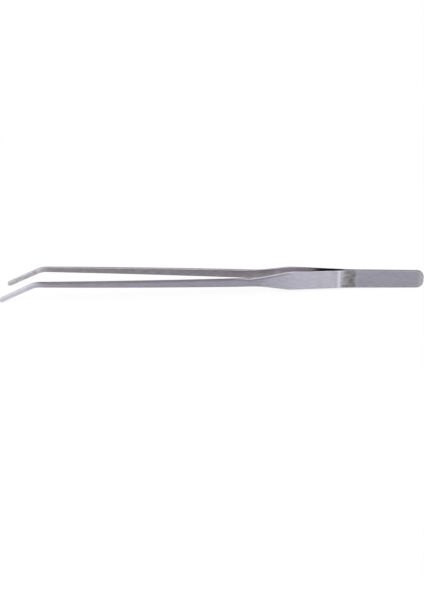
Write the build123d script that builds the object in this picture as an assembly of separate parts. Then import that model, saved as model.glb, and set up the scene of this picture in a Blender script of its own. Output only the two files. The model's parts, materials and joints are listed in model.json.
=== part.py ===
from build123d import *
import math
import os

# Aquascaping tweezers with angled tips: two long blades of stainless steel, face to face and
# spot welded at the tail, that spring apart from there and close when they are squeezed.
#
# Millimetres and degrees. Everything is drawn in the tool frame: X runs from the tail end
# (X = 0) to the tips, Y is the direction in which the blades open, Z is across the broad
# faces, and both tips bend towards -Z. At the end the tool is laid on its side, at rest on
# its lower edge, in the row frame: +Z up, tips towards -X, origin at the centre of the
# footprint. The left blade is then the one on the -Y side.
#
# Each blade is one strip of steel. It is cut at the flex line into a tail leaf and an arm,
# because a rigid arm that turns about that line stands in for the bending of the strip.

# ---------------------------------------------------------------- driving dimensions

# Broad faces, seen along Y
TOOL_LENGTH = 270.0
TAIL_WIDTH = 11.5
TAIL_CORNER_RADIUS = 4.4
GRIP_WIDTH = 12.6           # at the shoulder, the widest place
NECK_WIDTH = 5.4
SHANK_END_WIDTH = 3.1       # where the tips bend
TIP_END_WIDTH = 3.1
SHOULDER_RADIUS = 25.0
NECK_RADIUS = 90.0
TIP_BEND_RADIUS = 14.0
TIP_BEND_ANGLE = 25.5
TIP_LENGTH = 26.4
TIP_CORNER_RADIUS = 1.2

# Stretches of a blade, measured along it from the tail end
WELDED_LENGTH = 42.6
BEND_LENGTH = 8.0           # they part
ROOT_LENGTH = 23.0          # straight
GRIP_SET_LENGTH = 11.0      # bent further out, up to the shoulder
GRIP_END_LENGTH = 17.5      # straight, past the shoulder
NECK_SET_LENGTH = 13.5      # bent back inwards, and thickened
TAPER_LENGTH = 20.5         # from the shoulder to the neck's corner in the broad outline
FLEX_OFFSET = 8.0           # from the bend to the flex line

# Headings of a blade seen along Z, away from the plane between the blades
ROOT_ANGLE = 4.5
GRIP_ANGLE = 5.6
SHANK_START_ANGLE = 3.2
SHANK_END_ANGLE = 1.14

# Thickness of one blade
BLADE_THICKNESS = 1.25      # tail, root and grip
SHANK_THICKNESS = 2.3
TIP_THICKNESS = 1.6         # at the tip end
THINNING_LENGTH = 40.0      # over which the tip thins
EDGE_RADIUS = 0.3           # long outer edges
TIP_END_RADIUS = 0.6        # outer edge of the tip end

# Serrations across the inner faces of the tips
SERRATION_PITCH = 0.9
SERRATION_WIDTH = 0.7
SERRATION_DEPTH = 0.28
SERRATION_COUNT = 24
SERRATION_MARGIN = 1.5      # from the tip end to the first groove's centre

# Spot welds, and the flex line's knuckle
WELD_STATIONS = (12.0, 29.0)
NUGGET_DIAMETER = 4.2
NUGGET_DEPTH = 0.5          # fused into each blade
KNUCKLE_RELIEF = 0.02       # the knuckle is this much inside the blade's faces
FLEX_CLEARANCE = 0.03       # between the knuckle and its groove

# ---------------------------------------------------------------- derived places

SPACE = 3 * TOOL_LENGTH     # larger than the tool, for cutting and extruding
PITCH_STEPS = 12            # to find how the tool rests, each far closer than the last
SHOULDER_STATION = WELDED_LENGTH + BEND_LENGTH + ROOT_LENGTH + GRIP_SET_LENGTH
NECK_STATION = SHOULDER_STATION + TAPER_LENGTH
TIP_TURN = math.radians(TIP_BEND_ANGLE)
TIP_AXIS = Vector(math.cos(TIP_TURN), 0, -math.sin(TIP_TURN))
TIP_SIDE = Vector(math.sin(TIP_TURN), 0, math.cos(TIP_TURN))
TIP_CORNER = Vector(TOOL_LENGTH - TIP_LENGTH * math.cos(TIP_TURN), 0, 0)
TIP_END = TIP_CORNER + TIP_AXIS * TIP_LENGTH


# ---------------------------------------------------------------- the blade's two views

def broad_outline():
    """A blade seen along Y, from tail to tip, with every corner rounded."""
    mitre = Vector(math.sin(TIP_TURN / 2), 0, math.cos(TIP_TURN / 2))
    mitre *= SHANK_END_WIDTH / 2 / math.cos(TIP_TURN / 2)
    tip_half = TIP_SIDE * (TIP_END_WIDTH / 2)
    corners = [
        ((0, 0, TAIL_WIDTH / 2), TAIL_CORNER_RADIUS),
        ((SHOULDER_STATION, 0, GRIP_WIDTH / 2), SHOULDER_RADIUS),
        ((NECK_STATION, 0, NECK_WIDTH / 2), NECK_RADIUS),
        (TIP_CORNER + mitre, TIP_BEND_RADIUS + SHANK_END_WIDTH / 2),
        (TIP_END + tip_half, TIP_CORNER_RADIUS),
        (TIP_END - tip_half, TIP_CORNER_RADIUS),
        (TIP_CORNER - mitre, TIP_BEND_RADIUS - SHANK_END_WIDTH / 2),
        ((NECK_STATION, 0, -NECK_WIDTH / 2), NECK_RADIUS),
        ((SHOULDER_STATION, 0, -GRIP_WIDTH / 2), SHOULDER_RADIUS),
        ((0, 0, -TAIL_WIDTH / 2), TAIL_CORNER_RADIUS),
    ]
    points, radii = zip(*corners)
    return make_face(FilletPolyline(*points, radius=radii, close=True))


def stretch(previous, length, heading, offset):
    """The next stretch of a blade seen along Z, straight or an arc, up to that heading.

    The length is the centre line's, and the offset is outwards from the centre line.
    """
    along = previous % 1
    turn = heading - math.degrees(math.atan2(along.Y, along.X))
    if abs(turn) < 1e-6:
        return Line(previous @ 1, previous @ 1 + along * length)
    centre_radius = length / math.radians(abs(turn))
    return JernArc(previous @ 1, along, centre_radius - math.copysign(offset, turn), turn)


def grip_edges(offset):
    """Tail, bend, root and grip of a blade seen along Z, at that offset."""
    level = BLADE_THICKNESS / 2 + offset
    edges = [Line((0, level), (WELDED_LENGTH, level))]
    stretches = ((BEND_LENGTH, ROOT_ANGLE), (ROOT_LENGTH, ROOT_ANGLE),
                 (GRIP_SET_LENGTH, GRIP_ANGLE), (GRIP_END_LENGTH, GRIP_ANGLE))
    for length, heading in stretches:
        edges.append(stretch(edges[-1], length, heading, offset))
    return edges


def shank_edges(grip, side):
    """Neck, shank and tip of a blade seen along Z, on its outer (1) or inner (-1) face.

    They go on from the grip's edge: the neck thickens the blade, the shank keeps its
    thickness, and the tip thins to its end.
    """
    neck_centre = stretch(grip_edges(0)[-1], NECK_SET_LENGTH, SHANK_START_ANGLE, 0)
    along = neck_centre % 1
    neck_end = neck_centre @ 1 + Vector(-along.Y, along.X) * (side * SHANK_THICKNESS / 2)
    neck = Spline(grip @ 1, neck_end, tangents=(grip % 1, along))
    run = TOOL_LENGTH - THINNING_LENGTH - (neck_centre @ 1).X
    shank = stretch(neck, run, SHANK_END_ANGLE, side * SHANK_THICKNESS / 2)
    thinning = side * (TIP_THICKNESS - SHANK_THICKNESS) / 2
    end = shank @ 1
    rise = THINNING_LENGTH * math.tan(math.radians(SHANK_END_ANGLE)) + thinning
    return [neck, shank, Line(end, (TOOL_LENGTH, end.Y + rise))]


def face_edges(side):
    """A blade seen along Z: its outer (1) or inner (-1) face, from tail to tip."""
    edges = grip_edges(side * BLADE_THICKNESS / 2)
    return edges + shank_edges(edges[-1], side)


def side_outline():
    """A blade seen along Z: the inner face of its tail lies on Y = 0."""
    outer = face_edges(1)
    inner = face_edges(-1)
    ends = [Line(inner[0] @ 0, outer[0] @ 0), Line(inner[-1] @ 1, outer[-1] @ 1)]
    outline = make_face(outer + inner + ends)
    outer_corner = outline.vertices().sort_by_distance(outer[-1] @ 1)[0]
    return fillet(outer_corner, TIP_END_RADIUS)


def flex_line():
    """Where the arm turns, on the blade's centre line."""
    root = grip_edges(0)[2]
    return root @ 0 + root % 0 * FLEX_OFFSET


# ---------------------------------------------------------------- solids

def whole_blade():
    """One blade in one piece, on the +Y side of the plane between the blades."""
    broad = extrude(broad_outline(), SPACE / 2, both=True)
    side = extrude(side_outline(), SPACE / 2, both=True)
    steel = broad & side
    outer_faces = steel.faces().filter_by(lambda face: face.normal_at().Y > 0.7)
    long_edges = outer_faces.edges().filter_by(Axis.Z, reverse=True)
    return fillet(long_edges, EDGE_RADIUS)


def flex_cylinder(radius):
    return Pos(flex_line()) * Cylinder(radius, SPACE)


def beyond_flex(direction):
    """All the space ahead (1) or behind (-1) of the flex line, square to the blade there."""
    space = Pos(direction * SPACE / 2, 0, 0) * Box(SPACE, SPACE, SPACE)
    return Pos(flex_line()) * Rot(0, 0, ROOT_ANGLE) * space


def weld_nuggets():
    """The welds' fused metal, a disc centred between the blades at each station."""
    disc = Rot(90, 0, 0) * Cylinder(NUGGET_DIAMETER / 2, 2 * NUGGET_DEPTH)
    return [Pos(station, 0, 0) * disc for station in WELD_STATIONS]


def serrations():
    """Cutters for the grooves across the inner face of the tip of the +Y blade."""
    inner_edge = face_edges(-1)[-1]
    half = SERRATION_WIDTH / 2
    profile = make_face(Polyline((-2 * half, -SERRATION_DEPTH), (2 * half, -SERRATION_DEPTH),
                                 (0, SERRATION_DEPTH), close=True))
    cutters = []
    for index in range(SERRATION_COUNT):
        centre = TIP_END - TIP_AXIS * (SERRATION_MARGIN + index * SERRATION_PITCH)
        upright = Axis((centre.X, 0, 0), (0, 1, 0))
        centre.Y = inner_edge.find_intersection_points(upright)[0].Y
        across = Plane(centre, x_dir=TIP_AXIS, z_dir=TIP_SIDE)
        cutters.append(extrude(across * profile, TIP_LENGTH, both=True))
    return cutters


def resting_pitch(centre_station):
    """How far the tips are raised when the tool lies on its lower edge.

    It then stands on one place behind its centre of mass and one ahead of it.
    """
    across = Plane.YZ.offset(centre_station)
    halves = [split(broad_outline(), bisect_by=across, keep=keep) for keep in (Keep.BOTTOM, Keep.TOP)]
    pitch = 0.0
    for _ in range(PITCH_STEPS):
        rear, front = ((Rot(0, -pitch, 0) * half).bounding_box().min.Z for half in halves)
        pitch += math.degrees(math.atan2(rear - front, TOOL_LENGTH))
    return pitch


def tool_pieces():
    """Every piece of the tool in the tool frame, by name."""
    steel = whole_blade()
    knuckle_radius = BLADE_THICKNESS / 2 - KNUCKLE_RELIEF
    nuggets = weld_nuggets()
    leaf = steel - beyond_flex(1) - flex_cylinder(knuckle_radius + FLEX_CLEARANCE) - nuggets
    arm = steel - (beyond_flex(-1) - flex_cylinder(knuckle_radius)) - serrations()
    return {
        "left_tail_leaf": leaf,
        "right_tail_leaf": mirror(leaf, Plane.XZ),
        "left_arm": arm,
        "right_arm": mirror(arm, Plane.XZ),
        "spot_welds": Compound(children=nuggets),
    }


def row_placement(pieces):
    """From the tool frame to the row frame: laid on its side and resting on its lower edge."""
    moment = sum(piece.volume * piece.center(CenterOf.MASS).X for piece in pieces.values())
    centre_station = moment / sum(piece.volume for piece in pieces.values())
    turned = Rot(0, 0, 180) * Rot(0, -resting_pitch(centre_station), 0)
    box = Compound(children=[turned * piece for piece in pieces.values()]).bounding_box()
    return Pos(-box.center().X, -box.center().Y, -box.min.Z) * turned


pieces = tool_pieces()
placement = row_placement(pieces)
os.makedirs("parts", exist_ok=True)
for name, piece in pieces.items():
    export_step(placement * piece, f"parts/{name}.step")
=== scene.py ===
import json
import math

import bmesh
import bpy
import numpy as np
from mathutils import Matrix, Vector
from mathutils.bvhtree import BVHTree


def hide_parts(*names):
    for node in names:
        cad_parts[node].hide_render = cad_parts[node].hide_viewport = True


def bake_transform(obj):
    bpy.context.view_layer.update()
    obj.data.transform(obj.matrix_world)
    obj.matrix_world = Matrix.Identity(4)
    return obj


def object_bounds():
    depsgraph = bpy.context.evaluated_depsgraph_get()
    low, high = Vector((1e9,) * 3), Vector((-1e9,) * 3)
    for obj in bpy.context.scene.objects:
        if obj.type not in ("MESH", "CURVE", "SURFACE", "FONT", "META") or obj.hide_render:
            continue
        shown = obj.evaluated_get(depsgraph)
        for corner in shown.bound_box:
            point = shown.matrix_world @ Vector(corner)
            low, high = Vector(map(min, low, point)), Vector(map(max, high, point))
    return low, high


# Aquascaping tweezers lying on their side. Each blade is one strip of steel, so one mesh
# stands for the two CAD nodes that its tail and arm are, and runs on unbroken where they are joined.
#
# Metres throughout. A blade is measured in blade coordinates: s along it from the tail end,
# v outwards from the plane between the blades, z across its broad faces. Where the tip turns,
# u goes on along the centre line of the broad faces, and across is the distance from it.

MM = 0.001

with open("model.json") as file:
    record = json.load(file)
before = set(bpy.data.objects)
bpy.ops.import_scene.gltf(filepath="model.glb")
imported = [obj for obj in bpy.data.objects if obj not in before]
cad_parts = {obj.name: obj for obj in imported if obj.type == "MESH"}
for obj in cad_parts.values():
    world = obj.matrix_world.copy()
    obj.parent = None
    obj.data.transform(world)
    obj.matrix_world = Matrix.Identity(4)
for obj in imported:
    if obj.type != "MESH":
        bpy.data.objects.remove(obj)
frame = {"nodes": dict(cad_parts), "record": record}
cad_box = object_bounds()
record = frame["record"]
joints = {joint["name"]: joint for joint in record["behaviour"]["joints"]}
mounts = {mount["name"]: mount for mount in record["mounts"]}

# ---------------------------------------------------------------- sizes

# Places and sizes of the finish
BAND_START = 41.6 * MM           # the ground band across the bend
BAND_END = 52.0 * MM
BAND_DEPTH = 0.05 * MM
BAND_STEP = 0.5 * MM             # over which the hollow rises again at the band's front
CREASE = 53.1 * MM               # place of the painted highlight along the fold line where the bend ends
SERRATED_LENGTH = 24.0 * MM
GROOVE_DEPTH = 0.28 * MM         # of a serration
TAIL_ROUND = 4.6 * MM            # reach of the tail's rounded corners along the blade
TIP_ROUND = 1.4 * MM             # and of the tip's
OUTER_RIM = 0.34 * MM            # rounding of the outer long edges
INNER_RIM = 0.12 * MM
GUIDE_RADIUS = 14.0 * MM         # of the centre line at the tip's bend
BLEND_REACH = 12.0 * MM          # the blend's two points lie this far to each side of the flex line
BLEND_LEVEL = 2.0 * MM           # v of the blend's two points

# Sections and quads of a blade's mesh
TAIL_STEPS = 12                  # sections round the tail's corners
TIP_STEPS = 8                    # and round the tip's
TAIL_SPACING = 2.0 * MM
BAND_SPACING = 0.12 * MM
ARM_SPACING = 1.5 * MM
BEND_SPACING = 0.6 * MM
SERRATION_SPACING = 0.1 * MM
LEAST_SPACING = 0.01 * MM
BAND_BORDER = 1.0 * MM           # BAND_SPACING holds this far beyond the band's ends
BEND_BORDER = 2.0 * MM           # and BEND_SPACING starts this far before the tip's bend
COLUMNS = 12                     # quads across a broad face
RIM_STEPS = 4                    # quads round each rounded edge

# How the CAD is read
FAR = 50 * MM                    # rays start this far out, well clear of the steel,
END_MARGIN = 0.02 * MM           # and stay this far inside the blade's ends
FLEX_GAP = 1.2 * MM              # nothing is read this close to the flex line, where the CAD is cut
WELD_CLEARANCE = 3.4 * MM        # beside the centre line, clear of the welds
CORE_SHARE = 0.6                 # of the thickness, where the widths are read, clear of the grooves
TIP_ZONE = 16.0 * MM             # straight part of the tip, which gives its direction
READ_SPACING = 0.25 * MM
READ_MARGIN = 0.5 * MM
SMOOTHINGS = 24
LAND_REACH = 1.0 * MM            # a groove's depth is taken from the lands within this reach
LAND_SAMPLES = 21

# Camera, on a sensor 36 wide. The angles are in degrees
CAMERA_ELEVATION = 28.26         # above the floor
CAMERA_YAW = -3.5                # round from straight across the tool
CAMERA_ROLL = -2.575
CAMERA_DISTANCE = 0.601
CAMERA_LENS = 78.72
CAMERA_SENSOR = 36
CAMERA_AIM = Vector((0.00042, 0, -0.0072))

# Floor and world
FLOOR_HALF = 3.0
NEAR_WHITE = 0.84                # share of plain white in the floor near the tool, where it is seen
SHADOW_REACH = 0.16              # out to here; the rest is lit, and keeps the shadow
WHITE_REACH = 0.42               # from here on the floor is all plain white where it is seen
WORLD_LIGHT = 0.6

# ---------------------------------------------------------------- reading the CAD blades

UP = Vector(joints["right_arm_flex"]["axis"]).normalized()
ALONG = Vector((0, -1, 0)).cross(UP)
START = Vector(mounts["left_tail_face"]["pos_m"])
START.y = 0


class CadBlade:
    """One blade's CAD shape in blade coordinates, read with rays."""

    def __init__(self, side):
        self.outwards = Vector((0, -1 if side == "left" else 1, 0))
        self.nodes = (f"{side}_tail_leaf", f"{side}_arm")
        points, faces = [], []
        for node in self.nodes:
            mesh = frame["nodes"][node].data
            first = len(points)
            for vertex in mesh.vertices:
                offset = vertex.co - START
                points.append((offset.dot(ALONG), offset.dot(self.outwards), offset.dot(UP)))
            faces += [[first + index for index in polygon.vertices] for polygon in mesh.polygons]
        points = np.array(points)
        self.tail_end = points[:, 0].min()
        points[:, 0] -= self.tail_end
        self.length = points[:, 0].max()
        self.tip_level = points[points[:, 0] > self.length - TIP_ZONE, 1].mean()
        self.tree = BVHTree.FromPolygons(points.tolist(), faces)
        flex = Vector(joints[f"{side}_arm_flex"]["pos_m"]) - START
        self.flex = flex.dot(ALONG) - self.tail_end

    def hit(self, origin, direction):
        """Where a ray meets the steel, or None."""
        return self.tree.ray_cast(Vector(origin), Vector(direction))[0]

    def middle(self, s):
        """z halfway between the tip's edges."""
        low = self.hit((s, self.tip_level, -FAR), (0, 0, 1)).z
        high = self.hit((s, self.tip_level, FAR), (0, 0, -1)).z
        return (low + high) / 2

    def faces_at(self, s, z):
        """v of the inner and of the outer face."""
        outer = self.hit((s, FAR, z), (0, -1, 0)).y
        beside_welds = self.hit((s, -FAR, z + WELD_CLEARANCE), (0, 1, 0))
        inner = beside_welds or self.hit((s, -FAR, z), (0, 1, 0))
        return inner.y, outer

    def half_widths(self, s, z, across):
        """From a point on the centre line to the lower and to the upper edge."""
        inner, outer = self.faces_at(s, z)
        inside = (s, (1 - CORE_SHARE) * inner + CORE_SHARE * outer, z)
        return [(self.hit(inside, (way * across[0], 0, way * across[1])) - Vector(inside)).length
                for way in (-1, 1)]

    def to_row(self, s, v, z):
        """From blade coordinates to the row's own frame."""
        return START + ALONG * (s + self.tail_end) + self.outwards * v + UP * z


class Guide:
    """Centre line of the broad faces: straight, round the tip's bend, and straight to its end."""

    def __init__(self, cad):
        behind, ahead = cad.length - TIP_ZONE, cad.length - TIP_ZONE / 3
        drop = cad.middle(behind) - cad.middle(ahead)
        self.turn = math.atan2(drop, ahead - behind)
        corner = behind + cad.middle(behind) / math.tan(self.turn)
        self.arc_start = corner - GUIDE_RADIUS * math.tan(self.turn / 2)
        self.arc_end = self.arc_start + GUIDE_RADIUS * self.turn
        s, z = self.place(self.arc_end)
        end = cad.hit((s, cad.tip_level, z), (math.cos(self.turn), 0, -math.sin(self.turn)))
        self.end = self.arc_end + math.hypot(end.x - s, end.z - z) - END_MARGIN

    def heading(self, u):
        return self.turn * min(max((u - self.arc_start) / (self.arc_end - self.arc_start), 0), 1)

    def place(self, u):
        """(s, z) at the distance u along the guide."""
        if u <= self.arc_start:
            return u, 0.0
        angle = self.heading(u)
        beyond = max(u - self.arc_end, 0)
        s = self.arc_start + GUIDE_RADIUS * math.sin(angle) + beyond * math.cos(angle)
        return s, -GUIDE_RADIUS * (1 - math.cos(angle)) - beyond * math.sin(angle)

    def across(self, u):
        """(s, z) of the direction square to the guide, towards the upper edge."""
        angle = self.heading(u)
        return math.sin(angle), math.cos(angle)


def spread(first, last, spacing):
    return list(np.linspace(first, last, max(2, round((last - first) / spacing) + 1)))


def stations(guide):
    """Distances along the guide at which the blade is cut into sections."""
    quarter = math.pi / 2
    band = (BAND_START - BAND_BORDER, BAND_END + BAND_BORDER)
    bend = guide.arc_start - BEND_BORDER
    serrated = guide.end - SERRATED_LENGTH
    places = [TAIL_ROUND * (1 - math.cos(quarter * step / TAIL_STEPS)) for step in range(TAIL_STEPS + 1)]
    places += spread(TAIL_ROUND, band[0], TAIL_SPACING)
    places += spread(*band, BAND_SPACING)
    places += spread(band[1], bend, ARM_SPACING)
    places += spread(bend, serrated, BEND_SPACING)
    places += spread(serrated, guide.end - TIP_ROUND, SERRATION_SPACING)
    places += [guide.end - TIP_ROUND * (1 - math.sin(quarter * step / TIP_STEPS))
               for step in range(1, TIP_STEPS + 1)]
    kept = [places[0]]
    for place in places[1:]:
        if place - kept[-1] > LEAST_SPACING:
            kept.append(place)
    return np.array(kept)


def read_sections(cad, guide, places):
    """At each station: inner and outer v, half widths downwards and upwards, depth of a groove.

    Between the rounded ends they are read closely, smoothed and interpolated, so that the
    CAD's facets don't show; the ends and the serrations are read as they are. The depth of a
    groove is a share of its full depth.
    """
    def read(u):
        u = min(max(u, END_MARGIN), guide.end - END_MARGIN)
        s, z = guide.place(u)
        return [*cad.faces_at(s, z), *cad.half_widths(s, z, guide.across(u))]

    close = np.arange(READ_MARGIN, guide.end - READ_MARGIN, READ_SPACING)
    close = [u for u in close if abs(u - cad.flex) > FLEX_GAP]
    values = np.array([read(u) for u in close])
    for _ in range(SMOOTHINGS):
        values[1:-1] = (values[:-2] + 2 * values[1:-1] + values[2:]) / 4
    sections = np.array([np.interp(places, close, column) for column in values.T]).T
    inner = np.array([read(u)[0] for u in places])
    grooved = places > guide.end - SERRATED_LENGTH
    for index, u in enumerate(places):
        if u < TAIL_ROUND or u > guide.end - TIP_ROUND:
            sections[index] = read(u)
        elif grooved[index]:
            sections[index, 0] = inner[index]
    window = np.linspace(-LAND_REACH, LAND_REACH, LAND_SAMPLES)
    land = [np.interp(place + window, places, inner).min() for place in places]
    depth = np.where(grooved, np.clip((inner - land) / GROOVE_DEPTH, 0, 1), 0)
    return np.column_stack([sections, depth])


def band_hollow(places):
    """Depth of the shallow ground hollow across the bend's outer face."""
    rise = np.clip((places - BAND_START) / (BAND_END - BAND_START), 0, 1)
    front = np.clip((BAND_END - places) / BAND_STEP, 0, 1)
    return BAND_DEPTH * np.sqrt(rise) * front


# ---------------------------------------------------------------- the blade's mesh

def rim_profile(thickness):
    """(inset, share of the thickness) from the outer face's edge round to the inner face's edge."""
    quarter = math.pi / 2
    steps = []
    for step in range(RIM_STEPS + 1):
        angle = quarter * step / RIM_STEPS
        steps.append((OUTER_RIM * (1 - math.sin(angle)), 1 - OUTER_RIM * (1 - math.cos(angle)) / thickness))
    for step in range(RIM_STEPS + 1):
        angle = quarter * step / RIM_STEPS
        steps.append((INNER_RIM * (1 - math.cos(angle)), INNER_RIM * (1 - math.sin(angle)) / thickness))
    return steps


def inward_normals(loop):
    """Unit normals of a closed loop of (s, z), to the left of its direction."""
    ahead = np.roll(loop, -1, axis=0) - loop
    ahead /= np.linalg.norm(ahead, axis=1)[:, None]
    tangent = ahead + np.roll(ahead, 1, axis=0)
    tangent /= np.linalg.norm(tangent, axis=1)[:, None]
    return np.stack([-tangent[:, 1], tangent[:, 0]], axis=1)


class BladeShell:
    """A whole blade: two broad faces of quads, and rounded edges between their outlines."""

    def __init__(self, side):
        self.cad = CadBlade(side)
        self.guide = Guide(self.cad)
        self.places = stations(self.guide)
        self.sections = read_sections(self.cad, self.guide, self.places)
        self.inner = self.sections[:, 0]
        self.outer = self.sections[:, 1] - band_hollow(self.places)
        self.centres = np.array([self.guide.place(u) for u in self.places])
        self.sides = np.array([self.guide.across(u) for u in self.places])
        self.points, self.marks, self.faces = [], [], []
        self.set_outline()
        self.add_surfaces()

    def set_outline(self):
        """Both edges and both ends as one loop of (s, z), each place with its (row, column).

        Anticlockwise: the lower edge to the tip, the tip's end, back along the upper edge,
        and the tail's end.
        """
        rows = len(self.places)
        lower = self.centres - self.sides * self.sections[:, 2:3]
        upper = self.centres + self.sides * self.sections[:, 3:4]
        self.shares = np.linspace(0, 1, COLUMNS + 1)
        self.order = [(row, 0) for row in range(rows)]
        self.order += [(rows - 1, column) for column in range(1, COLUMNS)]
        self.order += [(row, COLUMNS) for row in reversed(range(rows))]
        self.order += [(0, column) for column in reversed(range(1, COLUMNS))]
        self.outline = np.array([lower[row] + (upper[row] - lower[row]) * self.shares[column]
                                 for row, column in self.order])
        self.normals = inward_normals(self.outline)

    def add(self, place, row, share, rim):
        """A vertex at (s, z), at that share of its row's thickness from the inner face.

        Its marks are for the materials: place along and across, share, whether it is on a
        narrow edge, distance from the nearer edge, and depth of a groove.
        """
        v = self.inner[row] + (self.outer[row] - self.inner[row]) * share
        self.points.append(self.cad.to_row(place[0], v, place[1]))
        across = float((place - self.centres[row]) @ self.sides[row])
        below, above, depth = self.sections[row, 2:5]
        edge = min(below + across, above - across)
        groove = depth if share == 0 else 0
        self.marks.append((self.places[row], across, share, rim, edge, groove))
        return len(self.points) - 1

    def add_loop(self, inset, share, thickness, rim):
        """Vertices all round, moved in by the inset.

        The share is for a blade of that thickness; it is changed to keep the rounding's size.
        """
        loop = []
        for (row, _), place, normal in zip(self.order, self.outline, self.normals):
            scale = thickness / (self.outer[row] - self.inner[row])
            scaled = 1 - (1 - share) * scale if share > 0.5 else share * scale
            loop.append(self.add(place + normal * inset, row, scaled, rim))
        return loop

    def add_broad_face(self, loop, inset, share):
        """The outer face (share 1) or the inner face (share 0), inside its loop."""
        rows = len(self.places)
        grid = dict(zip(self.order, loop))
        spots = {spot: index for index, spot in enumerate(self.order)}
        inset_outline = self.outline + self.normals * inset
        for row in range(1, rows - 1):
            low = inset_outline[row]
            high = inset_outline[spots[row, COLUMNS]]
            for column in range(1, COLUMNS):
                place = low + (high - low) * self.shares[column]
                grid[row, column] = self.add(place, row, share, 0.0)
        for row in range(rows - 1):
            for column in range(COLUMNS):
                spots_round = ((row, column), (row + 1, column), (row + 1, column + 1), (row, column + 1))
                quad = [grid[spot] for spot in spots_round]
                self.faces.append(quad if share > 0.5 else quad[::-1])

    def add_surfaces(self):
        thickness = float(np.median(self.outer - self.inner))
        profile = rim_profile(thickness)
        last = len(profile) - 1
        loops = [self.add_loop(inset, share, thickness, 0.0 if step in (0, last) else 1.0)
                 for step, (inset, share) in enumerate(profile)]
        for first, second in zip(loops, loops[1:]):
            for index, vertex in enumerate(first):
                following = (index + 1) % len(first)
                self.faces.append((vertex, first[following], second[following], second[index]))
        self.add_broad_face(loops[0], profile[0][0], 1.0)
        self.add_broad_face(loops[-1], profile[-1][0], 0.0)

    def to_mesh(self, name):
        """The mesh, with its marks as attributes and a flat map along the blade."""
        mesh = bpy.data.meshes.new(name)
        mesh.from_pydata([tuple(point) for point in self.points], [], self.faces)
        mesh.update()
        finish = mesh.attributes.new("blade", "FLOAT_VECTOR", "POINT")
        finish.data.foreach_set("vector", np.array([mark[:3] for mark in self.marks], np.float32).ravel())
        for mark_name, index in (("rim", 3), ("edge", 4), ("groove", 5)):
            single = mesh.attributes.new(mark_name, "FLOAT", "POINT")
            single.data.foreach_set("value", np.array([mark[index] for mark in self.marks], np.float32))
        uv = mesh.uv_layers.new(name="UVMap")
        corners = np.empty(len(mesh.loops), np.int32)
        mesh.loops.foreach_get("vertex_index", corners)
        length = self.guide.end
        flat = np.array([(mark[0] / length, 0.5 + mark[1] / length) for mark in self.marks], np.float32)
        uv.data.foreach_set("uv", flat[corners].ravel())
        return mesh


def turn_outwards(mesh):
    """Turns the faces outwards, whichever way the blade was mirrored."""
    shape = bmesh.new()
    shape.from_mesh(mesh)
    bmesh.ops.recalc_face_normals(shape, faces=shape.faces)
    shape.to_mesh(mesh)
    shape.free()
    mesh.shade_smooth()


def make_blade(side, material):
    shell = BladeShell(side)
    cad = shell.cad
    mesh = shell.to_mesh(f"{side}_blade")
    turn_outwards(mesh)
    mesh.materials.append(material)
    blade = bpy.data.objects.new(f"{side}_blade_steel", mesh)
    bpy.context.scene.collection.objects.link(blade)
    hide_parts(*cad.nodes)
    start = cad.to_row(cad.flex - BLEND_REACH, BLEND_LEVEL, 0)
    end = cad.to_row(cad.flex + BLEND_REACH, BLEND_LEVEL, 0)
    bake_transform(blade)


# ---------------------------------------------------------------- node trees

def srgb(red, green, blue):
    """A linear colour from the 0 to 255 values that it shows as."""
    values = [channel / 255 for channel in (red, green, blue)]
    return [value / 12.92 if value <= 0.04045 else ((value + 0.055) / 1.055) ** 2.4 for value in values] + [1]


class Nodes:
    """The node tree of a new material or world, with a short call for each kind of node used here."""

    def __init__(self, owner):
        owner.use_nodes = True
        self.tree = owner.node_tree
        self.tree.nodes.clear()

    def add(self, kind, inputs=(), **settings):
        """A node; an input is linked if it is given a socket, and set if it is given a value."""
        node = self.tree.nodes.new(kind)
        for name, value in settings.items():
            setattr(node, name, value)
        for name, value in dict(inputs).items():
            if isinstance(value, bpy.types.NodeSocket):
                self.tree.links.new(value, node.inputs[name])
            else:
                node.inputs[name].default_value = value
        return node

    def math(self, operation, first, second):
        return self.add("ShaderNodeMath", {0: first, 1: second}, operation=operation).outputs[0]

    def product(self, first, *others):
        for other in others:
            first = self.math("MULTIPLY", first, other)
        return first

    def total(self, first, *others):
        for other in others:
            first = self.math("ADD", first, other)
        return first

    def range(self, value, low, high, to_low=0.0, to_high=1.0, smooth=True):
        inputs = {"Value": value, "From Min": low, "From Max": high, "To Min": to_low, "To Max": to_high}
        kind = "SMOOTHSTEP" if smooth else "LINEAR"
        return self.add("ShaderNodeMapRange", inputs, interpolation_type=kind).outputs["Result"]

    def vector(self, x, y, z):
        return self.add("ShaderNodeCombineXYZ", {"X": x, "Y": y, "Z": z}).outputs[0]

    def noise(self, vector, scale=1.0, detail=2.0, roughness=0.5):
        inputs = {"Vector": vector, "Scale": scale, "Detail": detail, "Roughness": roughness}
        return self.add("ShaderNodeTexNoise", inputs).outputs["Fac"]

    def mix(self, share, first, second, kind="MIX"):
        inputs = {0: share, 6: first, 7: second}
        return self.add("ShaderNodeMix", inputs, data_type="RGBA", blend_type=kind).outputs[2]

    def ramp(self, value, stops):
        """A colour that goes straight from one (position, colour) stop to the next."""
        ramp = self.add("ShaderNodeValToRGB", {"Fac": value})
        elements = ramp.color_ramp.elements
        while len(elements) < len(stops):
            elements.new(0.5)
        for element, (position, colour) in zip(elements, stops):
            element.position = position
            element.color = colour
        return ramp.outputs["Color"]

    def metal(self, colour, rough, bump, **others):
        """A metal surface as the tree's output."""
        inputs = {"Base Color": colour, "Metallic": 1.0, "Roughness": rough, "Normal": bump}
        surface = self.add("ShaderNodeBsdfPrincipled", {**inputs, **others}).outputs[0]
        self.add("ShaderNodeOutputMaterial", {"Surface": surface})


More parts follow.
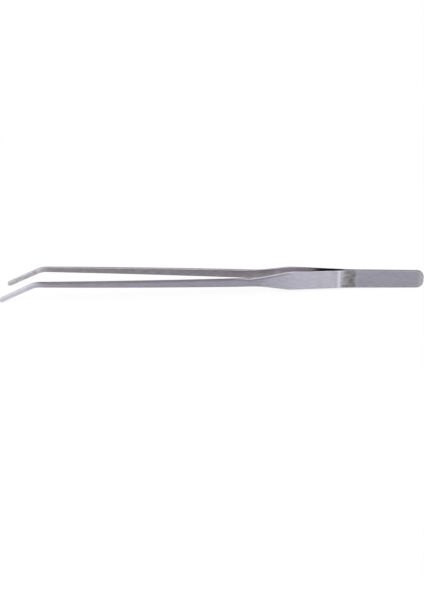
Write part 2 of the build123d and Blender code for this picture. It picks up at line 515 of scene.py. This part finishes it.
class BladeNodes(Nodes):
    """A blade material's node tree, with the blade's own coordinates and patterns drawn in them."""

    def __init__(self, owner, length):
        super().__init__(owner)
        self.length = length
        blade = self.add("ShaderNodeAttribute", attribute_name="blade").outputs["Vector"]
        self.run, self.across, self.level = self.add("ShaderNodeSeparateXYZ", {"Vector": blade}).outputs
        self.rim = self.mark("rim")
        self.edge = self.mark("edge")
        self.groove = self.mark("groove")
        self.outside = self.range(self.level, 0.4, 0.6)

    def mark(self, name):
        return self.add("ShaderNodeAttribute", attribute_name=name).outputs["Fac"]

    def along(self, stops):
        """A colour along the blade, from (mm, red, green, blue) stops."""
        share = self.math("DIVIDE", self.run, self.length)
        return self.ramp(share, [(place * MM / self.length, srgb(*colour)) for place, *colour in stops])

    def stretched(self, x, long_m, y, wide_m, z, detail=2.0, roughness=0.5):
        """Noise whose grains are about that long in x and that wide in y."""
        spot = self.vector(self.math("DIVIDE", x, long_m), self.math("DIVIDE", y, wide_m), z)
        return self.noise(spot, detail=detail, roughness=roughness)

    def brushed(self, long_m, wide_m, detail=3.0, offset=0.0):
        """Grains drawn out along the blade, different on its two faces."""
        layer = self.total(self.product(self.level, 3.0), offset)
        return self.stretched(self.run, long_m, self.across, wide_m, layer, detail)

    def arcs(self, bow, line, reach, seed):
        """Bowed, slanting lines across the blade, as a grinding wheel leaves them."""
        slant = 0.12 * seed - 0.3
        bowed = self.product(self.across, self.across, bow)
        swept = self.total(self.run, bowed, self.product(self.across, slant))
        return self.stretched(swept, line, self.across, reach, seed, 3.0, 0.6)

    def between(self, value, low, high, soft_low, soft_high):
        """1 between low and high, falling off over the two soft lengths outside them."""
        return self.product(self.range(value, low - soft_low, low),
                            self.range(value, high, high + soft_high, 1.0, 0.0))


# ---------------------------------------------------------------- the blade's steel

# Shades along the blade: (mm from the tail end, red, green, blue). They are partly the steel's finish and
# partly painted reflections and painted shade, where the faces catch or miss the light
OUTER_SHADES = ((0, 152, 151, 161), (40, 153, 151, 162), (57, 182, 181, 192), (80, 180, 179, 191),
                (88, 172, 171, 182), (97, 166, 165, 177), (104, 152, 151, 162), (112, 152, 149, 162),
                (230, 152, 148, 159), (240, 156, 153, 164), (247, 182, 179, 191), (256, 196, 195, 205))
# the inner faces are darkest between 52 and 65 mm: painted shade in the gap where the blades part
INNER_SHADES = ((0, 140, 137, 141), (44, 110, 107, 110), (52, 58, 56, 58), (65, 70, 68, 71),
                (71, 214, 207, 214), (92, 196, 190, 197), (100, 154, 149, 155), (116, 142, 137, 142),
                (236, 145, 140, 145), (242, 156, 151, 156), (250, 194, 190, 195), (258, 202, 199, 203))
# narrow edges of the tail, grip and bend: partly their colour, partly painted reflections, with a painted
# highlight at the crease
GRIP_WALL_SHADES = ((0, 140, 140, 144), (42, 140, 139, 143), (47, 124, 122, 126), (52.5, 190, 188, 195),
                    (57, 170, 168, 174), (78, 168, 166, 172), (99, 172, 170, 178))
# the narrow edges of the slender arms: painted reflections, darker on one blade than on the other
ARM_WALL_REFLECTIONS = {"left": ((107, 172, 169, 176), (120, 106, 101, 110), (242, 110, 106, 112)),
                   "right": ((106, 158, 155, 162), (112, 158, 155, 161), (240, 160, 157, 163))}
# painted highlight along the tip's narrow edges
TIP_WALL_HIGHLIGHTS = ((247, 172, 169, 176), (254, 198, 196, 204))
BAND_SHADES = ((41, 147, 146, 150), (44, 126, 124, 126), (46.6, 128, 126, 127), (48.5, 143, 140, 143),
               (50.2, 154, 151, 156), (51.4, 172, 170, 178), (52.2, 182, 181, 190))

# Shades of single features
TAPER_EDGE_PAINTED_SHADE = srgb(118, 117, 128)      # painted shade along the taper's upper edge
ARM_EDGE_PAINTED_SHADE = srgb(112, 108, 118)     # painted shade along the upper edge of the slender arm's outer face
TIP_EDGE_HIGHLIGHT = srgb(222, 221, 228)
# painted highlight along the tip's upper edge
LIGHT_TAIL_END_SHADE = srgb(174, 175, 178)     # the tail's very end
SPECK_SHADE = srgb(78, 75, 78)
# painted highlight along the crease
CREASE_HIGHLIGHT = srgb(214, 212, 222)
WALL_CORNER_HIGHLIGHT = srgb(178, 175, 182)    # painted highlight along the inner corner of the slender arm's narrow edges
GAP_PAINTED_SHADE = srgb(30, 29, 31)           # painted shade on the narrow edges where the blades part
# painted shade in the serrations' grooves
GROOVE_PAINTED_SHADE = srgb(96, 92, 96)


def face_colour(n):
    """Colour of the two broad faces, with painted shade and painted highlights along their edges."""
    colour = n.mix(n.outside, n.along(INNER_SHADES), n.along(OUTER_SHADES))
    # painted shade: a darker line below the upper edge of the taper
    rounded = n.product(n.between(n.run, 90 * MM, 108 * MM, 8 * MM, 10 * MM),
                        n.between(n.edge, 0.5 * MM, 0.8 * MM, 0.25 * MM, 0.9 * MM),
                        n.outside, n.range(n.across, 0.0, MM, 0.0, 0.8))
    colour = n.mix(rounded, colour, TAPER_EDGE_PAINTED_SHADE)
    # painted shade: the slender arm is darker towards its upper edge
    shaded = n.product(n.between(n.run, 116 * MM, 236 * MM, 12 * MM, 6 * MM),
                       n.range(n.edge, 0.2 * MM, 1.2 * MM, 0.6, 0.0),
                       n.outside, n.range(n.across, -MM, MM))
    colour = n.mix(shaded, colour, ARM_EDGE_PAINTED_SHADE)
    # and a painted highlight makes the tip lighter there
    lit = n.product(n.range(n.run, 241 * MM, 250 * MM),
                    n.range(n.edge, 0.3 * MM, 1.5 * MM, 0.8, 0.0),
                    n.range(n.across, -0.2 * MM, 0.6 * MM))
    colour = n.mix(lit, colour, TIP_EDGE_HIGHLIGHT)
    # the outer face is lighter at the tail's very end
    lighter_end = n.product(n.range(n.run, 0.6 * MM, 5 * MM, 0.85, 0.0), n.outside)
    return n.mix(lighter_end, colour, LIGHT_TAIL_END_SHADE)


def wall_colour(n, side):
    """Colour of the narrow edges, with painted reflections, highlights and shade along them."""
    walls = n.along(GRIP_WALL_SHADES + ARM_WALL_REFLECTIONS[side] + TIP_WALL_HIGHLIGHTS)
    # painted highlight along the narrow edges' inner corner
    corner_highlight = n.product(n.between(n.run, 108 * MM, 236 * MM, 8 * MM, 8 * MM),
                          n.range(n.level, 0.1, 0.45, 0.9, 0.0))
    walls = n.mix(corner_highlight, walls, WALL_CORNER_HIGHLIGHT)
    # painted shade on the narrow edges in the gap where the blades part
    gap_shade = n.product(n.between(n.run, 53 * MM, 70 * MM, 7 * MM, 14 * MM),
                      n.range(n.level, 0.45, 0.9, 1.0, 0.0))
    return n.mix(gap_shade, walls, GAP_PAINTED_SHADE)


def band_marks(n):
    """Grinding marks: two sets of bowed lines that cross, and uneven blotches."""
    blotches = n.stretched(n.run, 2.6 * MM, n.across, 1.9 * MM, 9.0)
    return n.total(n.product(n.arcs(28, 0.30 * MM, 4 * MM, 1.0), 0.30),
                   n.product(n.arcs(-22, 0.55 * MM, 2.6 * MM, 4.0), 0.22),
                   n.product(blotches, 0.48))


def band_colour(n, colour, band):
    """The ground band over that colour, with burnt specks low at its front and a painted highlight along the
    crease.
    """
    colour = n.mix(band, colour, n.along(BAND_SHADES))
    flecks = n.stretched(n.run, 0.9 * MM, n.across, 0.8 * MM, 17.0, 3.0)
    specks = n.product(n.range(flecks, 0.47, 0.58), band,
                       n.range(n.edge, 1.0 * MM, 2.6 * MM, 1.0, 0.0),
                       n.range(n.run, BAND_START + 3 * MM, BAND_START + 8 * MM),
                       n.range(n.across, -3 * MM, 0.0, 1.0, 0.0))
    colour = n.mix(n.product(specks, 0.75), colour, SPECK_SHADE)
    # painted highlight along the crease
    crease = n.product(n.between(n.run, CREASE - 0.3 * MM, CREASE + 0.2 * MM, 0.7 * MM, 2.0 * MM), n.outside)
    return n.mix(n.product(crease, 0.9), colour, CREASE_HIGHLIGHT)


def blade_steel(side, length):
    """Satin steel, brushed along the blade, with a finish, painted reflections and painted shade that differ
    from stretch to stretch.
    """
    material = bpy.data.materials.new(f"{side}_blade_steel")
    n = BladeNodes(material, length)
    fine = n.brushed(9 * MM, 0.09 * MM)
    coarse = n.brushed(40 * MM, 0.5 * MM, 2.0, 11.0)
    streaks = n.brushed(4.5 * MM, 0.9 * MM, 3.0, 31.0)
    cloudy = n.brushed(14 * MM, 6 * MM, 2.0, 23.0)
    band_reach = n.between(n.run, BAND_START + 2.2 * MM, BAND_END - 1.2 * MM, 2.2 * MM, 1.6 * MM)
    band = n.product(band_reach, n.outside)
    marks = band_marks(n)

    colour = band_colour(n, face_colour(n), band)
    colour = n.mix(n.rim, colour, wall_colour(n, side))
    # painted shade in the serrations' grooves, deeper where the groove is deeper
    colour = n.mix(n.product(n.groove, 0.42), colour, GROOVE_PAINTED_SHADE)

    # brushing, clouds and streaks make the colour a little lighter and darker, the marks more so
    uneven = n.product(n.range(streaks, 0.3, 0.7, -1.0, 1.0, False), n.range(n.level, 0.4, 0.6, 0.17, 0.10))
    tone = n.total(n.range(fine, 0.25, 0.75, 0.95, 1.05, False),
                   n.range(coarse, 0.3, 0.7, -0.03, 0.03, False),
                   n.range(cloudy, 0.3, 0.7, -0.03, 0.03, False), uneven)
    marked = n.total(n.product(n.range(marks, 0.38, 0.62, 0.7, 1.3, False), band),
                     n.math("SUBTRACT", 1.0, band))
    tone = n.product(tone, marked)
    grey = n.add("ShaderNodeCombineColor", {"Red": tone, "Green": tone, "Blue": tone}).outputs[0]
    colour = n.mix(1.0, colour, grey, "MULTIPLY")

    rough = n.total(n.range(fine, 0.3, 0.7, 0.28, 0.38), n.product(band, 0.08),
                    n.range(n.level, 0.4, 0.6, 0.16, 0.0))
    heights = n.total(n.product(fine, 0.7), n.product(coarse, 0.5), n.product(marks, band, 1.5))
    bump = n.add("ShaderNodeBump", {"Height": heights, "Strength": 0.35, "Distance": 0.012 * MM}).outputs[0]
    tangent = n.add("ShaderNodeTangent", direction_type="UV_MAP", uv_map="UVMap").outputs[0]
    n.metal(colour, rough, bump, Anisotropic=0.5, Tangent=tangent)
    return material


def weld_steel():
    """Fused metal of the spot welds, closed in between the blades."""
    material = bpy.data.materials.new("weld_steel")
    n = Nodes(material)
    place = n.add("ShaderNodeTexCoord").outputs["Object"]
    grain = n.noise(place, scale=2500.0, detail=4.0)
    colour = n.mix(n.range(grain, 0.35, 0.65), srgb(120, 116, 112), srgb(168, 164, 160))
    rough = n.range(grain, 0.3, 0.7, 0.4, 0.6)
    bump = n.add("ShaderNodeBump", {"Height": grain, "Strength": 0.4, "Distance": 0.02 * MM}).outputs[0]
    n.metal(colour, rough, bump)
    return material


# ---------------------------------------------------------------- stage, light and camera

def shows_white(n):
    """1 for the rays that see the background: the camera's, reflections and what is seen through glass."""
    path = n.add("ShaderNodeLightPath").outputs
    seen = n.math("MAXIMUM", path["Is Camera Ray"], path["Is Glossy Ray"])
    return n.math("MAXIMUM", seen, path["Is Transmission Ray"])


def make_floor():
    """A plain pale floor that keeps the shadow near the tool and is white further off."""
    material = bpy.data.materials.new("floor")
    n = Nodes(material)
    lit = n.add("ShaderNodeBsdfDiffuse", {"Color": srgb(246, 246, 247)}).outputs[0]
    white = n.add("ShaderNodeEmission", {"Color": (1, 1, 1, 1), "Strength": 1.0}).outputs[0]
    place = n.add("ShaderNodeTexCoord").outputs["Object"]
    distance = n.add("ShaderNodeVectorMath", {0: place}, operation="LENGTH").outputs["Value"]
    share = n.product(shows_white(n), n.range(distance, SHADOW_REACH, WHITE_REACH, NEAR_WHITE, 1.0))
    surface = n.add("ShaderNodeMixShader", {0: share, 1: lit, 2: white}).outputs[0]
    n.add("ShaderNodeOutputMaterial", {"Surface": surface})
    mesh = bpy.data.meshes.new("floor")
    corners = [(x * FLOOR_HALF, y * FLOOR_HALF, 0) for x, y in ((-1, -1), (1, -1), (1, 1), (-1, 1))]
    mesh.from_pydata(corners, [], [(0, 1, 2, 3)])
    mesh.materials.append(material)
    floor = bpy.data.objects.new("floor", mesh)
    bpy.context.scene.collection.objects.link(floor)


def make_world():
    """White where it is seen, and a plain soft light everywhere else."""
    world = bpy.data.worlds.new("studio")
    bpy.context.scene.world = world
    n = Nodes(world)
    light = n.add("ShaderNodeBackground", {"Color": (1, 1, 1, 1), "Strength": WORLD_LIGHT}).outputs[0]
    white = n.add("ShaderNodeBackground", {"Color": (1, 1, 1, 1), "Strength": 1.0}).outputs[0]
    surface = n.add("ShaderNodeMixShader", {0: shows_white(n), 1: light, 2: white}).outputs[0]
    n.add("ShaderNodeOutputWorld", {"Surface": surface})


def make_lamp(name, place, size, power):
    """A soft white lamp that points at the origin."""
    lamp = bpy.data.lights.new(name, "AREA")
    lamp.shape = "RECTANGLE"
    lamp.size, lamp.size_y = size
    lamp.energy = power
    holder = bpy.data.objects.new(name, lamp)
    holder.location = place
    holder.rotation_euler = (-Vector(place)).to_track_quat("-Z", "Y").to_euler()
    bpy.context.scene.collection.objects.link(holder)


def make_camera():
    elevation, yaw, roll = (math.radians(angle) for angle in (CAMERA_ELEVATION, CAMERA_YAW, CAMERA_ROLL))
    flat = math.cos(elevation)
    back = Vector((-math.sin(yaw) * flat, -math.cos(yaw) * flat, math.sin(elevation)))
    right = back.cross(Vector((0, 0, -1))).normalized()
    up = back.cross(right)
    turned_right = right * math.cos(roll) + up * math.sin(roll)
    turned_up = up * math.cos(roll) - right * math.sin(roll)
    camera = bpy.data.objects.new("camera", bpy.data.cameras.new("camera"))
    camera.data.sensor_fit = "HORIZONTAL"
    camera.data.sensor_width = CAMERA_SENSOR
    camera.data.lens = CAMERA_LENS
    camera.data.clip_start = 0.01
    axes = Matrix((turned_right, turned_up, back)).transposed().to_4x4()
    camera.matrix_world = Matrix.Translation(CAMERA_AIM + back * CAMERA_DISTANCE) @ axes
    bpy.context.scene.collection.objects.link(camera)
    bpy.context.scene.camera = camera


# ---------------------------------------------------------------- putting it together

make_camera()
make_world()
make_floor()
make_lamp("key", place=(-0.35, -0.30, 0.80), size=(1.3, 1.0), power=6.6)
make_lamp("fill", place=(0.60, -0.50, 0.50), size=(0.9, 0.8), power=2.8)

tool_length = cad_box[1][0] - cad_box[0][0]
for side in ("left", "right"):
    make_blade(side, blade_steel(side, tool_length))
welds = frame["nodes"]["spot_welds"]
welds.data.materials.clear()
welds.data.materials.append(weld_steel())

bpy.context.scene.view_settings.view_transform = "Standard"
